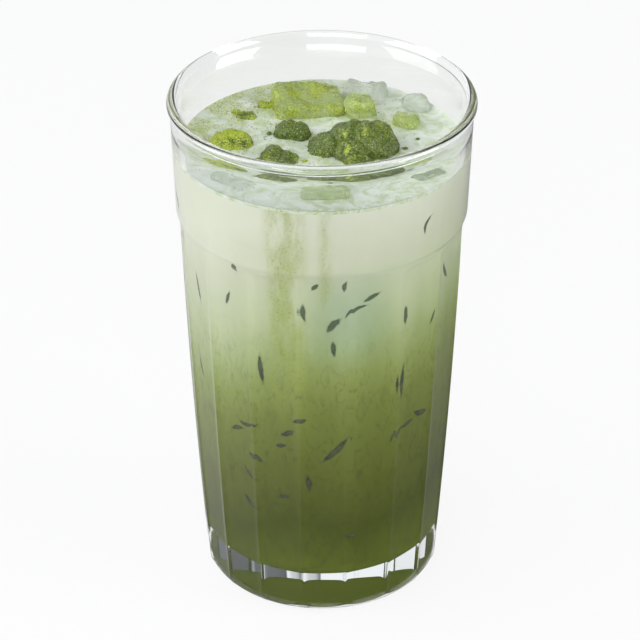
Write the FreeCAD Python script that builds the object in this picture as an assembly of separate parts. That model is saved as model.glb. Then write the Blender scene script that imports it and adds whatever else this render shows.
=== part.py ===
import FreeCAD, Part

import math
import os

# An iced matcha latte in a panelled glass tumbler, in millimetres, +Z up.
# The origin is the middle of the circle that the tumbler stands on.

# Tumbler, outside. Each radius below the rim is stepped in from the one above it.
total_height = 145.0
rim_radius = 41.0
bead_radius = 1.4
bead_overhang = 0.8
band_height = 32.0
band_taper = 1.1
shoulder_height = 2.2
shoulder_step = 0.8
body_taper = 5.6
body_bulge = 0.6
heel_radius = 5.0
stand_ring_width = 2.8
punt_height = 0.6

# Panels: flat round the tumbler and bowed along its height, with narrow lands between them.
# One of them faces the front (-Y), turned by this many degrees towards +X.
panel_count = 17
panel_turn = 1.4
panel_depth = 0.52
panel_runout_radius = 1.6

# Tumbler, inside: a straight taper with a rounded corner above a heavy base.
bore_taper = 8.8
base_thickness = 12.0
bore_corner_radius = 4.0

# Drink: the level, and where the milk above meets the matcha below.
level_below_rim = 14.5
matcha_depth = 68.0

# Ice and matcha-coated lumps: how far the pieces reach under the level, and their soft edges.
ice_draught = 9.0
lump_draught = 3.0
ice_edge_radius = 1.1

level = total_height - level_below_rim
layer_line = base_thickness + matcha_depth
bead_centre_radius = rim_radius - bead_radius
bead_centre_height = total_height - bead_radius
bore_top_radius = bead_centre_radius - bead_radius
neck_radius = rim_radius - bead_overhang
band_foot = total_height - band_height
band_foot_radius = neck_radius - band_taper
land_top = band_foot - shoulder_height
land_top_radius = band_foot_radius - shoulder_step
heel_land_radius = land_top_radius - body_taper
land_middle = (heel_radius + land_top) / 2
land_middle_radius = (heel_land_radius + land_top_radius) / 2 + body_bulge


def spot(radius, height):
    """A point of an outline in the XZ plane."""
    return FreeCAD.Vector(radius, 0, height)


def line(start, end):
    return Part.makeLine(start, end)


def arc(start, middle, end):
    return Part.Arc(start, middle, end).toShape()


def turned(edges):
    """The solid that a closed outline makes when it turns once round the Z axis."""
    face = Part.Face(Part.Wire(edges))
    return face.revolve(FreeCAD.Vector(0, 0, 0), FreeCAD.Vector(0, 0, 1), 360)


def bore_radius(height):
    share = (bead_centre_height - height) / (bead_centre_height - base_thickness)
    return bore_top_radius - bore_taper * share


def bore_outline(top):
    """Outline edges of the bore, from its wall at a height down to the axis."""
    corner = bore_corner_radius
    corner_top = base_thickness + corner
    corner_radius = bore_radius(corner_top)
    lean = corner * (1 - math.sqrt(0.5))
    wall_top = spot(bore_radius(top), top)
    wall_foot = spot(corner_radius, corner_top)
    corner_middle = spot(corner_radius - lean, base_thickness + lean)
    floor_edge = spot(corner_radius - corner, base_thickness)
    floor_centre = spot(0, base_thickness)
    return [
        line(wall_top, wall_foot),
        arc(wall_foot, corner_middle, floor_edge),
        line(floor_edge, floor_centre),
    ]


def panel_cutter():
    """A bar across the tumbler that leaves one flat, bowed panel and runs out at the shoulder."""
    foot = spot(heel_land_radius - panel_depth, heel_radius)
    middle = spot(land_middle_radius - panel_depth, land_middle)
    head_radius = land_top_radius - panel_depth
    head = spot(head_radius, land_top - panel_runout_radius)
    runout = panel_runout_radius
    lean = runout * (1 - math.sqrt(0.5))
    runout_middle = spot(head_radius + lean, land_top - lean)
    runout_end = spot(head_radius + runout, land_top)
    clear_radius = rim_radius + runout
    slope = (middle.x - foot.x) / (middle.z - foot.z)
    below = spot(foot.x - 2 * slope * (foot.z + 1), -1)
    outline = Part.Wire([
        line(below, foot),
        arc(foot, middle, head),
        arc(head, runout_middle, runout_end),
        line(runout_end, spot(clear_radius, land_top)),
        line(spot(clear_radius, land_top), spot(clear_radius, -1)),
        line(spot(clear_radius, -1), below),
    ])
    width = 2.4 * rim_radius * math.tan(math.pi / panel_count)
    bar = Part.Face(outline).extrude(FreeCAD.Vector(0, width, 0))
    bar.translate(FreeCAD.Vector(0, -width / 2, 0))
    return bar


def tumbler():
    stand_outer = heel_land_radius - heel_radius
    stand_inner = stand_outer - stand_ring_width
    heel_lean = heel_radius * (1 - math.sqrt(0.5))
    bead_drop = math.sqrt(bead_radius ** 2 - (neck_radius - bead_centre_radius) ** 2)
    punt_top = spot(0, punt_height)
    punt_middle = spot(stand_inner / 2, punt_height * 0.75)
    stand_in = spot(stand_inner, 0)
    stand_out = spot(stand_outer, 0)
    heel_middle = spot(heel_land_radius - heel_lean, heel_lean)
    land_foot = spot(heel_land_radius, heel_radius)
    land_head = spot(land_top_radius, land_top)
    band_start = spot(band_foot_radius, band_foot)
    neck = spot(neck_radius, bead_centre_height - bead_drop)
    bead_top = spot(bead_centre_radius, total_height)
    bead_inside = spot(bore_top_radius, bead_centre_height)
    blank = turned([
        arc(punt_top, punt_middle, stand_in),
        line(stand_in, stand_out),
        arc(stand_out, heel_middle, land_foot),
        arc(land_foot, spot(land_middle_radius, land_middle), land_head),
        line(land_head, band_start),
        line(band_start, neck),
        arc(neck, bead_top, bead_inside),
        *bore_outline(bead_centre_height),
        line(spot(0, base_thickness), punt_top),
    ])
    for number in range(panel_count):
        bar = panel_cutter()
        turn = -90 + panel_turn + number * 360 / panel_count
        bar.rotate(FreeCAD.Vector(0, 0, 0), FreeCAD.Vector(0, 0, 1), turn)
        # A cut now and then leaves its panel out, and a hair of turn on the cutter mends that.
        for _ in range(10):
            panelled = blank.cut(bar)
            if panelled.Volume < blank.Volume - 50 and panelled.isValid():
                break
            bar.rotate(FreeCAD.Vector(0, 0, 0), FreeCAD.Vector(0, 0, 1), 0.02)
        else:
            raise ValueError("panel %d could not be cut" % number)
        blank = panelled
    return blank


def drink():
    """Everything that the bore holds up to the level."""
    return turned([
        *bore_outline(level),
        line(spot(0, base_thickness), spot(0, level)),
        line(spot(0, level), spot(bore_radius(level), level)),
    ])


def placed(piece, east, north, height, yaw=0, lean=0, roll=0):
    """Sets a piece down at shares of the bore radius east (+X) and north (+Y) of the axis."""
    reach = bore_radius(level)
    turn = FreeCAD.Rotation(yaw, lean, roll)
    piece.Placement = FreeCAD.Placement(FreeCAD.Vector(east * reach, north * reach, height), turn)
    return piece


def ice_block(length, width, proud, top_share, shift=0.0):
    """A melted block of ice: a tapered brick with soft edges, standing proud of the level."""
    deep = ice_draught
    corners = [(-1, -1), (1, -1), (1, 1), (-1, 1), (-1, -1)]
    foot = [FreeCAD.Vector(x * length / 2, y * width / 2, -deep) for x, y in corners]
    reach = top_share / 2
    head = [FreeCAD.Vector(x * length * reach + shift, y * width * reach, proud) for x, y in corners]
    block = Part.makeLoft([Part.makePolygon(foot), Part.makePolygon(head)], True, True)
    return block.makeFillet(ice_edge_radius, block.Edges)


def dished(block, height, depth, radius):
    """The block with a shallow round dish melted into its top."""
    bowl = Part.makeSphere(radius, FreeCAD.Vector(0, 0, height - depth + radius))
    return block.cut(bowl)


def lobe(east, north, cap_radius, cap_height):
    """A ball that shows above the level as a cap of this radius and height."""
    ball_radius = (cap_radius ** 2 + cap_height ** 2) / (2 * cap_height)
    return Part.makeSphere(ball_radius, FreeCAD.Vector(east, north, cap_height - ball_radius))


def lump(lobes):
    """A lump coated in matcha: several caps grown together, cut flat under the level."""
    body = lobes[0].fuse(lobes[1:]) if len(lobes) > 1 else lobes[0]
    box = body.BoundBox
    wide = 2 * max(box.XLength, box.YLength, box.ZLength)
    keep = Part.makeBox(2 * wide, 2 * wide, wide, FreeCAD.Vector(-wide, -wide, -lump_draught))
    return body.common(keep)


def floating_pieces():
    """Each piece that breaks the surface, from the back of the drink to the front."""
    big_block = dished(ice_block(20, 14.5, 3.8, 0.86, shift=0.6), 3.8, 1.3, 14)
    return {
        "ice_block_back": placed(big_block, -0.11, 0.59, level, 8, 5, 7),
        "ice_block_rear_right": placed(ice_block(14, 9, 3.8, 0.74), 0.30, 0.76, level, -14, 4, -4),
        "ice_block_dusted": placed(ice_block(11, 8.5, 4.6, 0.62), 0.29, 0.47, level, 24, 6, -8),
        "ice_tip": placed(ice_block(7.5, 7, 1.9, 0.72), 0.68, 0.59, level, 8, -6, 5),
        "ice_wedge": placed(ice_block(10, 7, 2.4, 0.64), 0.59, 0.33, level, -22, 8, 4),
        "ice_block_right": placed(ice_block(10, 5.5, 0.5, 0.85), 0.74, -0.42, level, 34, 0, -3),
        "ice_block_left": placed(ice_block(13, 7, 0.9, 0.8), -0.62, -0.52, level, -38, 2, 3),
        "ice_block_front": placed(ice_block(14, 10, 1.2, 0.8), 0.02, -0.68, level, 4, -2, 4),
        "matcha_lump_large": placed(lump([
            lobe(-6.2, -1.0, 5.6, 4.2),
            lobe(-0.5, 0.5, 6.6, 6.2),
            lobe(5.0, -0.5, 6.8, 7.0),
            lobe(0.5, -4.0, 6.2, 4.4),
        ]), 0.22, -0.03, level),
        "matcha_lump_middle": placed(lump([
            lobe(-1.4, 0.6, 3.4, 3.6),
            lobe(1.4, -0.8, 3.2, 2.8),
        ]), -0.21, 0.16, level),
        "matcha_lump_left": placed(lump([
            lobe(-1.2, 0.2, 4.2, 3.4),
            lobe(2.0, -0.4, 3.4, 2.2),
        ]), -0.65, 0.02, level),
        "matcha_lump_front": placed(lump([
            lobe(-1.2, 0.4, 3.6, 2.8),
            lobe(1.8, -0.4, 3.0, 2.0),
        ]), -0.31, -0.22, level),
    }


def fitted(pieces, room):
    """The pieces kept inside the bore, each one cut where an earlier piece already lies."""
    taken = []
    done = {}
    for name, piece in pieces.items():
        kept = piece.common(room)
        if taken:
            kept = kept.cut(taken)
        taken.append(kept)
        done[name] = kept
    return done


def one_solid(shape):
    """The single solid of a boolean's result."""
    return max(shape.Solids, key=lambda solid: solid.Volume)


os.makedirs("parts", exist_ok=True)
bore_room = turned([
    *bore_outline(bead_centre_height),
    line(spot(0, base_thickness), spot(0, bead_centre_height)),
    line(spot(0, bead_centre_height), spot(bore_top_radius, bead_centre_height)),
])
nodes = fitted(floating_pieces(), bore_room)
whole_drink = drink().cut(list(nodes.values()))
reach = 2 * rim_radius
below_line = Part.makeBox(2 * reach, 2 * reach, layer_line, FreeCAD.Vector(-reach, -reach, 0))
nodes["milk_layer"] = whole_drink.cut(below_line)
nodes["matcha_layer"] = whole_drink.common(below_line)
nodes["tumbler"] = tumbler()
for name, shape in nodes.items():
    solid = one_solid(shape)
    solid.exportStep("parts/" + name + ".step")
    box = solid.BoundBox
    print(name, round(solid.Volume), "mm3", solid.isValid(), len(shape.Solids),
          [round(v, 1) for v in (box.XMin, box.XMax, box.YMin, box.YMax, box.ZMin, box.ZMax)])
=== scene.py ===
import math
import random

import bmesh
import bpy
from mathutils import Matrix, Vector, noise


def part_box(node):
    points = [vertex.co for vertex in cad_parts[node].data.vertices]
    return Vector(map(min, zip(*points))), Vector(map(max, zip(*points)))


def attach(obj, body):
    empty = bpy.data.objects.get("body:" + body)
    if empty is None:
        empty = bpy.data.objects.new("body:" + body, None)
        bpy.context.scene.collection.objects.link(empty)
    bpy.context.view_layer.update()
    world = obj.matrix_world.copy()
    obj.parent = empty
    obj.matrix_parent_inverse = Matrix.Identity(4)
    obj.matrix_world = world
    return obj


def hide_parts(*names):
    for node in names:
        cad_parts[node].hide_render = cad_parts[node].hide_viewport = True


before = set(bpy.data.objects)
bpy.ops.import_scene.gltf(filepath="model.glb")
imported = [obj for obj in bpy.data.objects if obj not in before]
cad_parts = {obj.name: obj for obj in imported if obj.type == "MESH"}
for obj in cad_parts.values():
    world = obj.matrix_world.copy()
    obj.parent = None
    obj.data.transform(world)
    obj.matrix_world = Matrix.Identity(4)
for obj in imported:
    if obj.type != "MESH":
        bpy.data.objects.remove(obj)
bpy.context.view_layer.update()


# ---- Tumbler ------------------------------------------------------------------------------
# A tall cafe glass, pressed in one go from clear soda-lime glass. The plunger leaves a plain
# tapered bore, the mould leaves flat panels with a low ridge between each two, and a flame
# rounds the rim into a bead.
mm = 0.001
total_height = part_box("tumbler")[1].z
rim_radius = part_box("tumbler")[1].x
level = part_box("milk_layer")[1].z
floor_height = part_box("matcha_layer")[0].z
layer_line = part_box("matcha_layer")[1].z

bead_radius = 1.4 * mm
bead_overhang = 0.8 * mm
band_height = 32.0 * mm
band_taper = 1.1 * mm
band_share_under_bead = 0.955
shoulder_height = 2.2 * mm
shoulder_step = 0.8 * mm
body_taper = 5.6 * mm
body_bulge = 0.6 * mm
heel_radius = 5.0 * mm
stand_ring_width = 2.8 * mm
punt_height = 0.6 * mm
bore_taper = 8.8 * mm
bore_corner = 4.0 * mm
panel_count = 17
panel_turn = math.radians(1.4)
panel_depth = 0.54 * mm
panel_runout = 1.6 * mm
edge_softness = 0.16 * mm
columns_per_panel = 20
column_crowding = 0.78
ridge_height = 0.26 * mm
ridge_half_width = 0.75 * mm
ridge_runout = 3 * mm
wall_margin = 0.4 * mm

bead_centre = Vector((rim_radius - bead_radius, total_height - bead_radius))
bore_top_radius = bead_centre.x - bead_radius
neck_radius = rim_radius - bead_overhang
band_foot = total_height - band_height
band_foot_radius = neck_radius - band_taper
land_top = band_foot - shoulder_height
land_top_radius = band_foot_radius - shoulder_step
heel_land_radius = land_top_radius - body_taper
stand_outer = heel_land_radius - heel_radius
stand_inner = stand_outer - stand_ring_width


def round_stretch(centre, radius, start, end, steps):
    """Points of an arc in (radius, height), from one angle to another in degrees."""
    angles = [math.radians(start + (end - start) * i / steps) for i in range(steps + 1)]
    return [(centre[0] + radius * math.cos(a), centre[1] + radius * math.sin(a)) for a in angles]


def land_radius(height):
    """Radius of the narrow lands between the panels: a taper with a slight bulge."""
    share = (height - heel_radius) / (land_top - heel_radius)
    bulge = 4 * body_bulge * share * (1 - share)
    return heel_land_radius + body_taper * share + (bulge if share > 0 else 0)


def bore_radius(height):
    """Radius of the plain bore, which narrows evenly to its floor."""
    return bore_top_radius - bore_taper * (bead_centre.y - height) / (bead_centre.y - floor_height)


def turned(outline, columns):
    """A closed shell made by turning an outline, given as (radius, height), round the Z axis."""
    shell = bmesh.new()
    verts = [shell.verts.new((radius, 0, height)) for radius, height in outline]
    edges = [shell.edges.new(pair) for pair in zip(verts, verts[1:])]
    bmesh.ops.spin(
        shell, geom=verts + edges, cent=(0, 0, 0), axis=(0, 0, 1),
        angle=math.tau, steps=columns, use_merge=True,
    )
    bmesh.ops.remove_doubles(shell, verts=shell.verts, dist=1e-7)
    bmesh.ops.recalc_face_normals(shell, faces=shell.faces)
    return shell


def piece_from(shell, name, material):
    """Turns a finished bmesh into a smooth object that rides on the one body."""
    mesh = bpy.data.meshes.new(name)
    shell.to_mesh(mesh)
    shell.free()
    mesh.shade_smooth()
    mesh.set_sharp_from_angle(angle=math.radians(50))
    mesh.materials.append(material)
    piece = bpy.data.objects.new(name, mesh)
    bpy.context.scene.collection.objects.link(piece)
    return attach(piece, "root")


def soft_min(a, b, softness):
    """The lower of two radii, with the edge between them rounded over."""
    blend = max(softness - abs(a - b), 0) / softness
    return min(a, b) - blend * blend * softness / 4


def panel_radius(height):
    """Distance of the flat panels from the axis: they run out in a cove under the shoulder."""
    flat = land_radius(height) - panel_depth
    cove = (height - (land_top - panel_runout)) / panel_runout
    if cove >= 1:
        return 1.0
    if cove > 0:
        flat += panel_runout * (1 - math.sqrt(1 - cove * cove))
    return flat


def shoulder_stretch(steps):
    """The soft step from the lands out to the plain band."""
    points = []
    for i in range(steps + 1):
        share = i / steps
        ease = share * share * (3 - 2 * share)
        points.append((land_top_radius + shoulder_step * ease, land_top + shoulder_height * share))
    return points


corner_height = floor_height + bore_corner
body_heights = [heel_radius + (land_top - panel_runout - heel_radius) * i / 30 for i in range(1, 31)]
cove_heights = [land_top - panel_runout * (1 - i / 8) for i in range(1, 8)]
bore_heights = [bead_centre.y - (bead_centre.y - corner_height) * i / 16 for i in range(1, 16)]
band_side = (bead_centre.y - band_foot) * band_share_under_bead
corner_centre = (bore_radius(corner_height) - bore_corner, corner_height)
glass_outline = [
    *[(stand_inner * i / 10, punt_height * (1 - (i / 10) ** 2)) for i in range(10)],
    *[(stand_inner + stand_ring_width * i / 4, 0) for i in range(4)],
    *round_stretch((stand_outer, heel_radius), heel_radius, -90, 0, 12),
    *[(land_radius(height), height) for height in body_heights + cove_heights],
    *shoulder_stretch(8),
    *[(band_foot_radius + band_taper * i / 6, band_foot + band_side * i / 6) for i in range(1, 7)],
    *round_stretch(bead_centre, bead_radius, -52, 180, 22),
    *[(bore_radius(height), height) for height in bore_heights],
    *round_stretch(corner_centre, bore_corner, 0, -90, 10),
    *[(corner_centre[0] * (1 - i / 6), floor_height) for i in range(1, 7)],
]
tumbler_shell = turned(glass_outline, panel_count * columns_per_panel)
pitch = math.tau / panel_count
for vert in tumbler_shell.verts:
    radius = math.hypot(vert.co.x, vert.co.y)
    outside = radius > bore_radius(max(vert.co.z, floor_height)) + wall_margin
    if not outside or vert.co.z > band_foot:
        continue
    bearing = math.atan2(vert.co.x, -vert.co.y) - panel_turn
    across = (bearing + pitch / 2) % pitch - pitch / 2
    across += column_crowding * math.sin(math.tau * across / pitch) * pitch / math.tau
    nearest = round(bearing / pitch) * pitch + across + panel_turn
    wanted = soft_min(radius, panel_radius(vert.co.z) / math.cos(across), edge_softness)
    from_ridge = (pitch / 2 - abs(across)) * wanted / ridge_half_width
    fade = min(max((land_top - vert.co.z) / ridge_runout, 0), max(vert.co.z / heel_radius, 0), 1)
    wanted += ridge_height * fade * math.exp(-from_ridge * from_ridge)
    vert.co.x = wanted * math.sin(nearest)
    vert.co.y = -wanted * math.cos(nearest)


class Wire:
    """One socket of a material. Arithmetic on wires adds the Math nodes for it."""

    tree = None

    def __init__(self, socket):
        self.socket = socket

    @staticmethod
    def node(kind, settings=None, inputs=None, output=0):
        """Adds a node: its settings are set first, then the values or wires of its sockets."""
        made = Wire.tree.nodes.new(kind)
        for name, value in (settings or {}).items():
            if name == "stops":
                stops = made.color_ramp.elements
                while len(stops) < len(value):
                    stops.new(1.0)
                for stop, (place, colour) in zip(stops, value):
                    stop.position = place
                    stop.color = (*colour, 1.0)
            else:
                setattr(made, name, value)
        for name, value in (inputs or {}).items():
            if isinstance(value, Wire):
                Wire.tree.links.new(value.socket, made.inputs[name])
            else:
                made.inputs[name].default_value = value
        return Wire(made.outputs[output] if len(made.outputs) else None)

    def op(self, operation, *others):
        """One Math node on this wire and the others."""
        inputs = dict(enumerate((self, *others)))
        return Wire.node("ShaderNodeMath", {"operation": operation}, inputs)

    def __add__(self, other):
        return self.op("ADD", other)

    def __sub__(self, other):
        return self.op("SUBTRACT", other)

    def __mul__(self, other):
        return self.op("MULTIPLY", other)

    def __rsub__(self, other):
        return Wire.node("ShaderNodeMath", {"operation": "SUBTRACT"}, {0: other, 1: self})

    __radd__ = __add__
    __rmul__ = __mul__

    def ease(self, low, high):
        """Zero below low, one above high, and a soft slope between."""
        settings = {"interpolation_type": "SMOOTHSTEP"}
        return Wire.node("ShaderNodeMapRange", settings, {0: self, 1: low, 2: high, 3: 0.0, 4: 1.0})

    def band(self, centre, half_width, softness):
        """One near a centre value, zero further off than the half width."""
        away = (self - centre).op("ABSOLUTE")
        return 1.0 - away.ease(half_width - softness, half_width + softness)


def new_material(name):
    """An empty node material; the wires that follow belong to it."""
    material = bpy.data.materials.new(name)
    material.use_nodes = True
    material.node_tree.nodes.clear()
    Wire.tree = material.node_tree
    return material


def surface(shader):
    """Ends the material in this shader."""
    Wire.node("ShaderNodeOutputMaterial", None, {"Surface": shader})


def place():
    """The point that is being shaded, in metres."""
    return Wire.node("ShaderNodeTexCoord", None, None, "Object")


def parted(where):
    """The three wires of a vector: X, Y and Z."""
    outputs = Wire.node("ShaderNodeSeparateXYZ", None, {0: where}).socket.node.outputs
    return [Wire(socket) for socket in outputs]


def cloud(where, scale, detail=3.0, roughness=0.5, stretch=(1, 1, 1), distortion=0.0):
    """Soft noise from 0 to 1. Its scale is in features a metre, stretched by axis."""
    size = [scale * s for s in stretch]
    mapped = Wire.node("ShaderNodeMapping", None, {"Vector": where, "Scale": size})
    inputs = {"Vector": mapped, "Scale": 1.0, "Detail": detail, "Roughness": roughness,
              "Distortion": distortion}
    return Wire.node("ShaderNodeTexNoise", None, inputs)


def bumped(height, distance, strength=1.0):
    """A normal tipped by the slope of a height."""
    inputs = {"Height": height, "Distance": distance, "Strength": strength}
    return Wire.node("ShaderNodeBump", None, inputs)


glass = new_material("pressed_glass")
spot = place()
ripple = cloud(spot, 70, detail=1.0, stretch=(1, 1, 0.5))
x, y, z = parted(spot)
from_axis = (x * x + y * y).op("SQRT")
worn_foot = from_axis.ease(20 * mm, 25 * mm) * (1.0 - z.ease(0.1 * mm, 0.5 * mm))
surface(Wire.node("ShaderNodeBsdfPrincipled", None, {
    "Base Color": (0.975, 0.99, 0.98, 1), "Roughness": worn_foot * 0.45, "IOR": 1.5,
    "Transmission Weight": 1.0,
    "Normal": bumped(ripple, 0.12 * mm, 0.5),
}))
tumbler = piece_from(tumbler_shell, "panelled_tumbler", glass)
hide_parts("tumbler")


# ---- Latte --------------------------------------------------------------------------------
# Iced milk poured over strong whisked matcha. The green sinks and the milk floats, and where
# they meet the colour runs from mint white to olive in uneven curtains down the wall.
wall_bite = 0.06 * mm
meniscus_height = 0.7 * mm
meniscus_width = 2.2 * mm
meniscus_fall = 2.2
latte_columns = 220
surface_rings = 90
latte_steps = 12
curtain_swing = 14.0
swirl_swing = 7.0


def latte_radius(height):
    """The drink reaches just into the wall, so that no air gap shows."""
    return bore_radius(height) + wall_bite


def meniscus(radius):
    """How far the still surface climbs towards the wall."""
    gap = max(latte_radius(level) - radius, 0) / meniscus_width
    return meniscus_height * math.exp(-meniscus_fall * gap)


def bearing_of(x, y):
    """Bearing round the glass in degrees, zero at the front and rising to the right."""
    return x.op("ARCTAN2", y * -1.0) * (180 / math.pi)


def mixed(share, under, over):
    """Two colours mixed by a share from 0 to 1."""
    return Wire.node("ShaderNodeMix", {"data_type": "RGBA"}, {0: share, 6: under, 7: over}, 2)


def linear(red, green, blue):
    """A colour named by its 8-bit screen values, in linear light."""
    values = [v / 255 for v in (red, green, blue)]
    return tuple(v / 12.92 if v <= 0.04045 else ((v + 0.055) / 1.055) ** 2.4 for v in values)


latte = new_material("latte")
spot = place()
x_mm, y_mm, z_mm = [wire * 1000.0 for wire in parted(spot)]
bearing = bearing_of(x_mm, y_mm)
curtains = cloud(spot, 95, detail=2.0, stretch=(1, 1, 0.16))
swirls = cloud(spot, 120, detail=4.0, roughness=0.6, stretch=(1, 1, 0.6), distortion=1.6)
# Painted light: the drink's colour is shifted towards milk on the left and towards olive on the
# right, as if lit from the left.
painted_side_light = (x_mm * -1.0).ease(5, 34) * 14.0 - x_mm.ease(18, 34) * 6.0
depth = z_mm + painted_side_light + (curtains - 0.5) * curtain_swing + (swirls - 0.5) * swirl_swing
bottom_mm = floor_height / mm
level_mm = level / mm
share = (depth - bottom_mm) * (1 / (level_mm - bottom_mm))
side = Wire.node("ShaderNodeValToRGB", {"stops": [
    (0.00, (0.13, 0.17, 0.014)), (0.16, (0.085, 0.105, 0.008)), (0.32, (0.15, 0.175, 0.026)),
    (0.48, (0.23, 0.28, 0.060)), (0.56, (0.32, 0.38, 0.110)), (0.64, (0.44, 0.52, 0.240)),
    (0.75, (0.60, 0.66, 0.430)), (0.86, (0.68, 0.71, 0.550)), (1.00, (0.80, 0.82, 0.690)),
]}, {0: share})
cool = bearing.band(12, 14, 12) * z_mm.band(98, 10, 9)
side = mixed(cool * 0.5, side, (*linear(160, 186, 158), 1))
powder_grain = cloud(spot, 1500, detail=2.0, roughness=0.7)
main_streak = bearing.band(-15, 7, 4) * z_mm.ease(58, 84)
thin_streak = bearing.band(1.5, 2.2, 2.5) * z_mm.ease(92, 108)
runs = cloud(spot, 260, detail=3.0, stretch=(1, 1, 0.3))
streak = (main_streak + thin_streak * 0.7) * runs.ease(0.3, 0.62)
side = mixed(streak * 0.62, side, (*linear(168, 180, 92), 1))
side = mixed(streak * powder_grain.ease(0.54, 0.66) * 0.5, side, (*linear(138, 150, 50), 1))
haze = cloud(spot, 300, detail=5.0, roughness=0.65, stretch=(1, 1, 0.5), distortion=2.0)
side = mixed((haze - 0.5) * (1.0 - z_mm.ease(70, 100)) * 1.7, side, (*linear(60, 70, 28), 1))

top_swirl = cloud(spot, 110, detail=4.0, roughness=0.55, distortion=3.0)
top = Wire.node("ShaderNodeValToRGB", {"stops": [
    (0.30, linear(240, 244, 236)), (0.48, linear(228, 236, 220)), (0.68, linear(200, 216, 178)),
]}, {0: top_swirl})


def stain_under(node, margin):
    """A soft round mask on the surface, about a floating piece and a margin round it."""
    low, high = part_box(node)
    middle = ((low.x + high.x) / 2, (low.y + high.y) / 2, level)
    ends = {0: spot, 1: middle}
    away = Wire.node("ShaderNodeVectorMath", {"operation": "DISTANCE"}, ends, "Value")
    reach = max(high.x - low.x, high.y - low.y) / 2
    return 1.0 - away.ease(reach * 0.7, reach + margin)


stains = stain_under("ice_block_back", 7 * mm)
for node in ("ice_block_dusted", "matcha_lump_large", "matcha_lump_left", "ice_wedge",
             "matcha_lump_middle", "matcha_lump_front", "ice_block_front"):
    stains = stains.op("MAXIMUM", stain_under(node, 5 * mm))
wisps = cloud(spot, 240, detail=4.0, roughness=0.6, distortion=1.5)
top = mixed(stains * wisps.ease(0.38, 0.62) * 0.55, top, (*linear(176, 196, 116), 1))
dust_grain = cloud(spot, 2300, detail=2.0, roughness=0.75)
drift = (x_mm * -0.72 + y_mm * 0.70).ease(10, 30) * cloud(spot, 170, detail=3.0).ease(0.36, 0.56)
drift = drift.op("MAXIMUM", (x_mm * 0.9 - y_mm * 0.35).ease(20, 31) * 0.6 * wisps.ease(0.45, 0.6))
drift = drift.op("MAXIMUM", (y_mm * -1.0).ease(33, 37) * 0.8 * wisps.ease(0.42, 0.56))
top = mixed(drift * 0.42, top, (*linear(196, 208, 110), 1))
top = mixed(drift * dust_grain.ease(0.50, 0.60) * 0.85, top, (*linear(150, 170, 44), 1))
on_top = z_mm.ease(level_mm - 0.35, level_mm - 0.05)
colour = mixed(on_top, side, top)
surface(Wire.node("ShaderNodeBsdfPrincipled", None, {
    "Base Color": colour, "Roughness": 0.4, "Specular IOR Level": 0.0,
    "Coat Weight": on_top, "Coat Roughness": 0.12, "Coat IOR": 1.35,
    "Normal": bumped(top_swirl, 0.25 * mm, 0.3),
}))


def wall_stretch(low, high):
    """Points up the wall from one height to another, as far in as the drink reaches."""
    heights = [low + (high - low) * i / latte_steps for i in range(latte_steps + 1)]
    return [(latte_radius(at), at) for at in heights]


surface_radii = [latte_radius(level) * (1 - i / surface_rings) for i in range(surface_rings + 1)]
milk_outline = [
    (0, layer_line),
    *wall_stretch(layer_line, level)[:-1],
    *[(radius, level + meniscus(radius)) for radius in surface_radii],
]
milk = piece_from(turned(milk_outline, latte_columns), "milk_and_matcha_blend", latte)
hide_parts("milk_layer")

matcha_outline = [
    (0, floor_height - wall_bite),
    *round_stretch(corner_centre, bore_corner + wall_bite, -90, 0, 10),
    *wall_stretch(corner_height, layer_line)[1:],
    (0, layer_line),
]
matcha = piece_from(turned(matcha_outline, latte_columns), "matcha_below", latte)
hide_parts("matcha_layer")


# ---- Sunk ice edges -----------------------------------------------------------------------
# Ice cubes lie against the wall inside the drink. Only the thin dark edges where they touch
# the glass show: short lens-shaped slits, each given by where it is and how it lies.
edge_colour = (*linear(40, 50, 22), 1)
slit_count = 92
slit_rows = [
    # bearing in degrees, height, length and width in mm, tilt from upright in degrees, bend
    (-38, 110, 3.6, 2.4, -20, 0.1), (-43, 99, 5.6, 1.7, 18, 0.0), (-64, 96, 11, 1.6, -14, 0.0),
    (-8, 100, 6.4, 2.6, -4, 0.1), (-3, 108, 3.2, 2.0, 40, 0.0), (9.5, 108, 4.0, 2.0, 10, 0.1),
    (46, 121, 7.0, 1.6, 22, 0.25), (62, 102, 8.5, 2.2, -28, 0.1), (21, 103.5, 6.4, 2.2, 66, 0.0),
    (14, 100, 8.0, 1.8, 60, 0.2), (5, 96, 7.0, 3.2, 40, 0.1), (5, 88.5, 5.8, 2.2, -6, 0.0),
    (37, 95, 7.4, 2.4, -2, 0.0), (37, 74, 13, 2.5, 2, 0.05), (55, 90, 6.0, 1.6, 26, 0.0),
    (-27.5, 80, 11.5, 2.5, -4, 0.03), (-42, 57.5, 5.6, 2.2, 66, 0.1), (-36, 60.5, 7.0, 2.0, 84, -0.2),
    (-15.5, 60.5, 5.0, 2.8, 62, 0.0), (-10, 65, 4.0, 2.2, 70, 0.0), (-19, 56, 4.0, 2.0, 76, 0.0),
    (-32, 50, 5.0, 2.4, -60, 0.0), (51, 60.5, 6.4, 2.8, -74, 0.1), (42, 59, 5.4, 2.0, 74, 0.0),
    (36, 57, 6.4, 1.9, 36, 0.1), (6.6, 55.5, 12.5, 3.0, 42, -0.05), (-36, 44, 6.4, 1.7, -40, 0.1),
    (-6.6, 44.5, 6.4, 2.8, -6, 0.0), (-18, 39, 4.0, 2.0, 82, 0.0), (-36.6, 34, 5.8, 2.4, -44, 0.1),
    (14, 26, 3.2, 2.0, 84, 0.0), (69, 36, 5.0, 1.5, 30, 0.0), (-67, 70, 8, 1.4, -16, 0.1),
]
shuffle = random.Random(11)
while len(slit_rows) < slit_count:
    slit_rows.append((
        shuffle.uniform(80, 280), shuffle.uniform(24, 118), shuffle.uniform(2.2, 9.5),
        shuffle.uniform(1.6, 2.8), shuffle.uniform(-85, 85), shuffle.uniform(-0.2, 0.2),
    ))
slits = bmesh.new()
reach = slits.verts.layers.float.new("reach")
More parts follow.
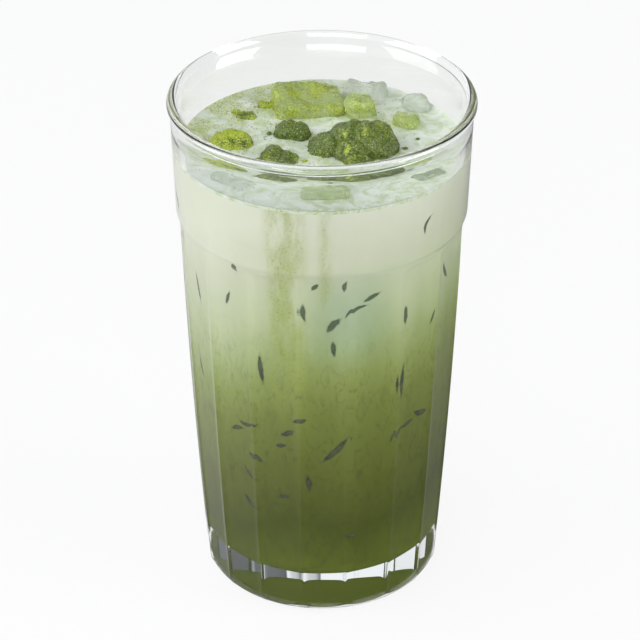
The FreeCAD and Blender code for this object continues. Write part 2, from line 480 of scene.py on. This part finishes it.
for around, up, length, width, tilt, bend in slit_rows:
    made = bmesh.ops.create_uvsphere(slits, u_segments=14, v_segments=10, radius=1.0)
    turn = math.radians(tilt)
    for vert in made["verts"]:
        across, out, along = vert.co
        vert[reach] = math.hypot(across, along)
        pinch = 0.55 + 0.45 * (1 - along * along)
        sideways = across * width * 0.4 * pinch + bend * length * (along * along - 0.4)
        upward = along * length / 2
        right = (sideways * math.cos(turn) + upward * math.sin(turn)) * mm
        height = (up + upward * math.cos(turn) - sideways * math.sin(turn)) * mm
        wall = latte_radius(height) + (0.02 - 0.05 * out) * mm
        angle = math.radians(around) + right / wall
        vert.co = (wall * math.sin(angle), -wall * math.cos(angle), height)
bmesh.ops.recalc_face_normals(slits, faces=slits.faces)

edge_ice = new_material("sunk_ice_edge")
spot = place()
from_middle = Wire.node("ShaderNodeAttribute", {"attribute_name": "reach"}, None, "Fac")
ragged = cloud(spot, 900, detail=2.0)
cover = 1.0 - (from_middle + (ragged - 0.5) * 0.5).ease(0.45, 1.0)
tone = mixed(cloud(spot, 400).ease(0.35, 0.7), edge_colour, (*linear(80, 92, 44), 1))
x, y, z = parted(spot)
tone = mixed(z.ease(70 * mm, 105 * mm) * 0.45, tone, (*linear(110, 134, 104), 1))
surface(Wire.node("ShaderNodeBsdfPrincipled", None, {
    "Base Color": tone, "Roughness": 0.3, "Alpha": cover * 0.95,
}))
slits_piece = piece_from(slits, "sunk_ice_edges", edge_ice)


# ---- Floating ice -------------------------------------------------------------------------
# Machine-made cubes, half melted, that break the surface. Each is clear ice with a wet skin,
# hollowed by melting, and carries more or less of the sifted matcha that fell on it.
ice_voxel = 0.42 * mm
ice_waves = [
    # wave length, height, and whether its crests are sharp
    (8.0 * mm, 1.3 * mm, False), (4.2 * mm, 0.5 * mm, True), (1.8 * mm, 0.14 * mm, False),
]


def melted_copy(node, voxel, waves):
    """A closed, evenly meshed copy of a CAD node, pushed in and out by layers of noise."""
    shell = bmesh.new()
    shell.from_mesh(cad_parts[node].data)
    bmesh.ops.remove_doubles(shell, verts=shell.verts, dist=0.002 * mm)
    mesh = bpy.data.meshes.new(node + "_copy")
    shell.to_mesh(mesh)
    shell.free()
    rough = bpy.data.objects.new(node + "_copy", mesh)
    bpy.context.scene.collection.objects.link(rough)
    remesh = rough.modifiers.new("even", "REMESH")
    remesh.mode = "VOXEL"
    remesh.voxel_size = voxel
    graph = bpy.context.evaluated_depsgraph_get()
    even = bpy.data.meshes.new_from_object(rough.evaluated_get(graph))
    bpy.data.objects.remove(rough)
    shell = bmesh.new()
    shell.from_mesh(even)
    bmesh.ops.smooth_vert(
        shell, verts=shell.verts, factor=0.5, use_axis_x=True, use_axis_y=True, use_axis_z=True,
    )
    shell.normal_update()
    moves = []
    for vert in shell.verts:
        push = 0.0
        for wave_length, height, ridged in waves:
            value = noise.noise(vert.co / wave_length)
            push += height * (1 - 2 * abs(value) if ridged else value)
        moves.append(vert.normal * push)
    for vert, move in zip(shell.verts, moves):
        vert.co += move
    return shell


def ice_material(name, film, film_colour, clear_colour):
    """Clear wet ice under a film of matcha powder, which covers this share of it."""
    material = new_material(name)
    spot = place()
    patches = cloud(spot, 260, detail=3.0, roughness=0.6)
    grain = cloud(spot, 2200, detail=1.0, roughness=0.6)
    cover = (patches * 0.75 + grain * 0.25).ease(0.62 - film * 0.34, 0.84 - film * 0.34) * 0.9
    dark = tuple(c * 0.55 for c in film_colour)
    powder_colour = mixed(grain.ease(0.42, 0.62), (*dark, 1), (*film_colour, 1))
    skin = bumped(patches * 0.7 + grain * 0.3, 0.35 * mm, 0.6)
    powder = Wire.node("ShaderNodeBsdfPrincipled", None, {
        "Base Color": powder_colour, "Roughness": 0.28, "Normal": skin,
    })
    ice = Wire.node("ShaderNodeBsdfPrincipled", None, {
        "Base Color": (*clear_colour, 1), "Roughness": 0.05, "IOR": 1.31,
        "Transmission Weight": 0.8, "Normal": bumped(patches, 0.6 * mm, 0.6),
    })
    surface(Wire.node("ShaderNodeMixShader", None, {0: cover, 1: ice, 2: powder}))
    return material


leaf_green = linear(176, 192, 60)
pale_green = linear(200, 214, 140)
white_ice = (0.93, 0.96, 0.90)
green_ice = (0.80, 0.90, 0.42)
ice_rows = {
    # share under powder, colour of the powder, colour of the ice
    "ice_block_back": (0.62, leaf_green, green_ice),
    "ice_block_rear_right": (0.12, pale_green, white_ice),
    "ice_block_dusted": (0.42, leaf_green, green_ice),
    "ice_tip": (0.10, pale_green, white_ice),
    "ice_wedge": (0.45, leaf_green, green_ice),
    "ice_block_right": (0.30, pale_green, (0.55, 0.64, 0.50)),
    "ice_block_left": (0.15, pale_green, white_ice),
    "ice_block_front": (0.18, pale_green, (0.84, 0.93, 0.62)),
}
for node, (film, film_colour, clear_colour) in ice_rows.items():
    skin = ice_material(node + "_skin", film, film_colour, clear_colour)
    block = piece_from(melted_copy(node, ice_voxel, ice_waves), "melting_" + node, skin)
    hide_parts(node)


# ---- Matcha lumps -------------------------------------------------------------------------
# Sifted powder that caught on ice and drank it: damp, dark, grainy crusts over a small piece
# of ice, brighter where the powder on top is still dry, with white glints painted in for its wet
# shine.
lump_voxel = 0.26 * mm
dry_shares = {
    "matcha_lump_large": 0.30, "matcha_lump_middle": 0.20,
    "matcha_lump_left": 0.9, "matcha_lump_front": 0.5,
}
lump_waves = [
    (5.5 * mm, 1.1 * mm, False), (2.4 * mm, 0.55 * mm, True), (0.9 * mm, 0.26 * mm, False),
    (0.42 * mm, 0.12 * mm, False),
]


def crust_material(name, dry_share):
    """Damp matcha: dark and wet in random patches, bright where it is dry."""
    material = new_material(name)
    spot = place()
    grain = cloud(spot, 2600, detail=2.0, roughness=0.7)
    patches = cloud(spot, 210, detail=3.0, roughness=0.6)
    dry = (patches * 0.65 + grain * 0.35).ease(0.62 - dry_share * 0.3, 0.78 - dry_share * 0.3)
    wet_tone = mixed(grain.ease(0.4, 0.62), (*linear(46, 66, 6), 1), (*linear(116, 136, 26), 1))
    dry_tone = mixed(grain.ease(0.35, 0.6), (*linear(140, 160, 24), 1), (*linear(192, 206, 66), 1))
    tone = mixed(dry, wet_tone, dry_tone)
    # Painted highlights: small white dots mixed into the colour stand in for glints off the wet
    # grains.
    painted_glints = cloud(spot, 3300, detail=1.0).ease(0.66, 0.72)
    surface(Wire.node("ShaderNodeBsdfPrincipled", None, {
        "Base Color": mixed(painted_glints * 0.8, tone, (*linear(232, 240, 214), 1)),
        "Roughness": dry * 0.34 + 0.28,
        "Normal": bumped(grain, 0.3 * mm, 0.8),
    }))
    return material


for node, dry_share in dry_shares.items():
    shell = melted_copy(node, lump_voxel, lump_waves)
    crust = piece_from(shell, "crust_" + node, crust_material(node + "_crust", dry_share))
    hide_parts(node)


# ---- Crumbs and powder --------------------------------------------------------------------
# Smaller flakes of matcha beside the lumps, and loose powder that lies where the sieve let it
# fall: little balls that lie on the milk, thickest round the lumps, round the dusted ice and
# at the back left.
grain_total = 1500
powder_reach = 35.5
crumb_rows = [
    # east, north, half width and half height, in mm
    (-20.0, 16.0, 2.5, 1.5), (-15.4, 22.5, 2.1, 1.3), (-23.0, 18.5, 1.3, 0.9), (-2.0, -3.0, 0.9, 0.7),
    (-9.5, -13.5, 0.9, 0.6), (-4.5, -9.5, 0.7, 0.6), (-14.0, 6.0, 0.8, 0.6), (-24.5, 8.0, 0.8, 0.6),
    (-17.0, -8.5, 0.7, 0.5), (2.0, -13.0, 0.8, 0.5), (22.0, -2.5, 0.8, 0.5), (25.5, 3.0, 0.6, 0.4),
]
crumbs = bmesh.new()
for east, north, half_width, half_height in crumb_rows:
    made = bmesh.ops.create_icosphere(crumbs, subdivisions=4, radius=1.0)
    seed = Vector((east, north, 0))
    for vert in made["verts"]:
        swell = 1 + 0.45 * noise.noise(vert.co * 1.7 + seed) + 0.22 * noise.noise(vert.co * 5 + seed)
        spread = vert.co * swell
        vert.co = Vector((
            east + spread.x * half_width, north + spread.y * half_width * 0.7, spread.z * half_height,
        )) * mm + Vector((0, 0, level))
crumbs_piece = piece_from(crumbs, "matcha_crumbs", crust_material("matcha_crumb", 0.6))

grain = bmesh.new()
bmesh.ops.create_icosphere(grain, subdivisions=1, radius=1.0)
grain_points = [vert.co.copy() for vert in grain.verts]
grain_faces = [[vert.index for vert in face.verts] for face in grain.faces]
grain.free()
dusty = ("ice_block_back", "matcha_lump_large", "matcha_lump_left", "matcha_lump_middle",
         "matcha_lump_front", "ice_block_dusted")
dusty_boxes = [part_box(node) for node in dusty]
dusty_middles = [((low.x + high.x) * 500, (low.y + high.y) * 500) for low, high in dusty_boxes]
powder = bmesh.new()
shuffle = random.Random(5)
grain_count = 0
while grain_count < grain_total:
    east = shuffle.uniform(-36, 36)
    north = shuffle.uniform(-36, 36)
    if math.hypot(east, north) > powder_reach:
        continue
    close = 0.0
    for middle in dusty_middles:
        gap = math.hypot(east - middle[0], north - middle[1])
        close = max(close, math.exp(-(gap / 9.0) ** 2))
    drifted = max(0.0, (north * 0.7 - east * 0.72 - 8) / 26)
    if shuffle.random() > 0.05 + 0.75 * close + 0.8 * drifted:
        continue
    size = shuffle.uniform(0.06, 0.17) * mm
    resting = Vector((east * mm, north * mm, level + size * 0.4))
    made = [powder.verts.new(resting + point * size) for point in grain_points]
    for corners in grain_faces:
        powder.faces.new([made[index] for index in corners])
    grain_count += 1
powder_piece = piece_from(powder, "matcha_powder_grains", crust_material("matcha_powder", 0.8))


# ---- Stage --------------------------------------------------------------------------------
# A flat sheet of pale paper between two soft lamps, with a third in front. What the glass
# mirrors is bright at the left and dark at the right, so that its edges show on white.
paper_glow = 0.88
floor = bmesh.new()
bmesh.ops.create_grid(floor, x_segments=1, y_segments=1, size=4.0)
floor_mesh = bpy.data.meshes.new("floor")
floor.to_mesh(floor_mesh)
floor.free()
paper = new_material("paper")
left_side = 1.0 - parted(place())[0].ease(-0.12, 0.05)
mirrored = Wire.node("ShaderNodeLightPath", None, None, "Is Glossy Ray")
through_glass = Wire.node("ShaderNodeLightPath", None, None, "Is Transmission Ray")
seen = Wire.node("ShaderNodeLightPath", None, None, "Is Camera Ray")
seen = seen.op("MAXIMUM", through_glass).op("MAXIMUM", mirrored * left_side * 0.7)
shade = mixed(mirrored, (0.7, 0.7, 0.7, 1), (0.28, 0.28, 0.28, 1))
matt = Wire.node("ShaderNodeBsdfDiffuse", None, {"Color": shade})
glow = Wire.node("ShaderNodeEmission", None, {"Color": (1.0, 1.0, 1.0, 1), "Strength": 1.0})
surface(Wire.node("ShaderNodeMixShader", None, {0: seen * paper_glow, 1: matt, 2: glow}))
floor_mesh.materials.append(paper)
floor = bpy.data.objects.new("floor", floor_mesh)
bpy.context.scene.collection.objects.link(floor)

world = bpy.data.worlds.new("studio")
bpy.context.scene.world = world
world.use_nodes = True
world.node_tree.nodes.clear()
Wire.tree = world.node_tree
direction = Wire.node("ShaderNodeTexCoord")
from_left = parted(direction)[0].ease(-0.1, 0.35)
sky = mixed(from_left, (0.95, 0.97, 1.0, 1), (0.12, 0.13, 0.14, 1))
dome = Wire.node("ShaderNodeBackground", None, {"Color": sky, "Strength": 1.0})
white = Wire.node("ShaderNodeBackground", None, {"Color": (0.98, 0.98, 0.98, 1), "Strength": 1.0})
straight = Wire.node("ShaderNodeLightPath", None, None, "Is Camera Ray")
shown = Wire.node("ShaderNodeMixShader", None, {0: straight, 1: dome, 2: white})
Wire.node("ShaderNodeOutputWorld", None, {"Surface": shown})


def soft_lamp(name, position, size, power, aim):
    """A rectangular lamp of a size in metres and a power in watts, turned to a point."""
    lamp = bpy.data.lights.new(name, "AREA")
    lamp.shape = "RECTANGLE"
    lamp.size, lamp.size_y = size
    lamp.energy = power
    holder = bpy.data.objects.new(name, lamp)
    holder.location = position
    holder.rotation_euler = (Vector(aim) - Vector(position)).to_track_quat("-Z", "Y").to_euler()
    bpy.context.scene.collection.objects.link(holder)


aim = (0, 0, 0.08)
soft_lamp("key", (-0.92, -0.20, 0.42), (0.8, 0.8), 6.0, aim)
soft_lamp("fill", (0.90, -0.30, 0.40), (0.6, 0.7), 8.0, aim)
soft_lamp("front", (-0.20, -0.95, 0.36), (0.8, 0.4), 5.0, aim)

camera_distance = 0.850
camera_elevation = math.radians(30.85)
look_at = Vector((-0.0005, 0, 0.0762))
camera_data = bpy.data.cameras.new("camera")
camera_data.sensor_width = 36.0
camera_data.lens = 174.15
camera = bpy.data.objects.new("camera", camera_data)
back = Vector((0, -math.cos(camera_elevation), math.sin(camera_elevation)))
camera.location = look_at + back * camera_distance
camera.rotation_euler = (-back).to_track_quat("-Z", "Y").to_euler()
bpy.context.scene.collection.objects.link(camera)
bpy.context.scene.camera = camera
bpy.context.scene.view_settings.view_transform = "Standard"
